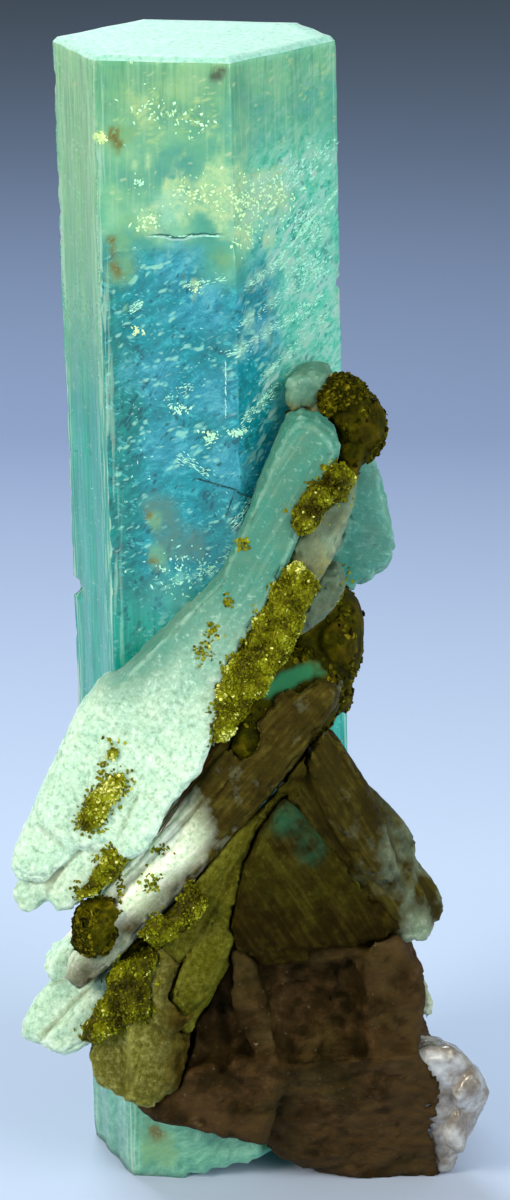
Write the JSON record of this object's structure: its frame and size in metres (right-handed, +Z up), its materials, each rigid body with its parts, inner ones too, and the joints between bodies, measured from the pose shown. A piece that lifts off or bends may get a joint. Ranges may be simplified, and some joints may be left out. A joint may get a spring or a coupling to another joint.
{
  "type": "aquamarine crystal specimen",
  "caption": "Upright six-sided aquamarine prism with a flat top, crossed low down by pale albite blades with green mica crusts, on brown matrix rock.",
  "frame": {"origin": "middle of the footprint box, at the level the specimen rests on", "axes": "+Z up along the prism, +X to the right of the viewed side, +Y away from the viewer"},
  "size_m": [0.0456, 0.0372, 0.1102],
  "materials": {
    "aquamarine": "clear to cloudy beryl, striated glossy faces",
    "albite": "white to mint, slightly see-through, pearly cleavage faces",
    "albite_grey": "grey green, slightly see-through, striated",
    "albite_olive": "olive brown stained albite, dull",
    "mica_green": "yellow green flakes, glittering",
    "mica_dark": "dark olive mica, satin",
    "matrix": "dull brown rock, pitted",
    "quartz": "greyish white, broken, glassy"
  },
  "bodies": {
    "root": {"aquamarine_crystal": "aquamarine", "albite_blade_front": "albite", "albite_blade_behind_front": "albite", "albite_sprig_left": "albite", "albite_pair_left": "albite", "albite_tip_upper": "albite", "albite_blades_lower_left": "albite_grey", "albite_blades_right": "albite_grey", "albite_blade_small_right": "albite_grey", "albite_fan_right": "albite_grey", "albite_blades_back_right": "albite_grey", "albite_blades_back": "albite_grey", "albite_plate_middle": "albite_olive", "albite_blades_shaded": "albite_olive", "albite_plates_low": "albite_olive", "mica_crust_band": "mica_green", "mica_crust_upper": "mica_green", "mica_crust_left": "mica_green", "mica_crust_crease": "mica_green", "mica_crust_low": "mica_green", "mica_crust_middle": "mica_green", "mica_mass_right": "mica_dark", "mica_knob_upper": "mica_dark", "mica_mass_low": "mica_dark", "mica_lump_left": "mica_dark", "matrix_rock": "matrix", "quartz_tip": "quartz"}
  },
  "joints": []
}
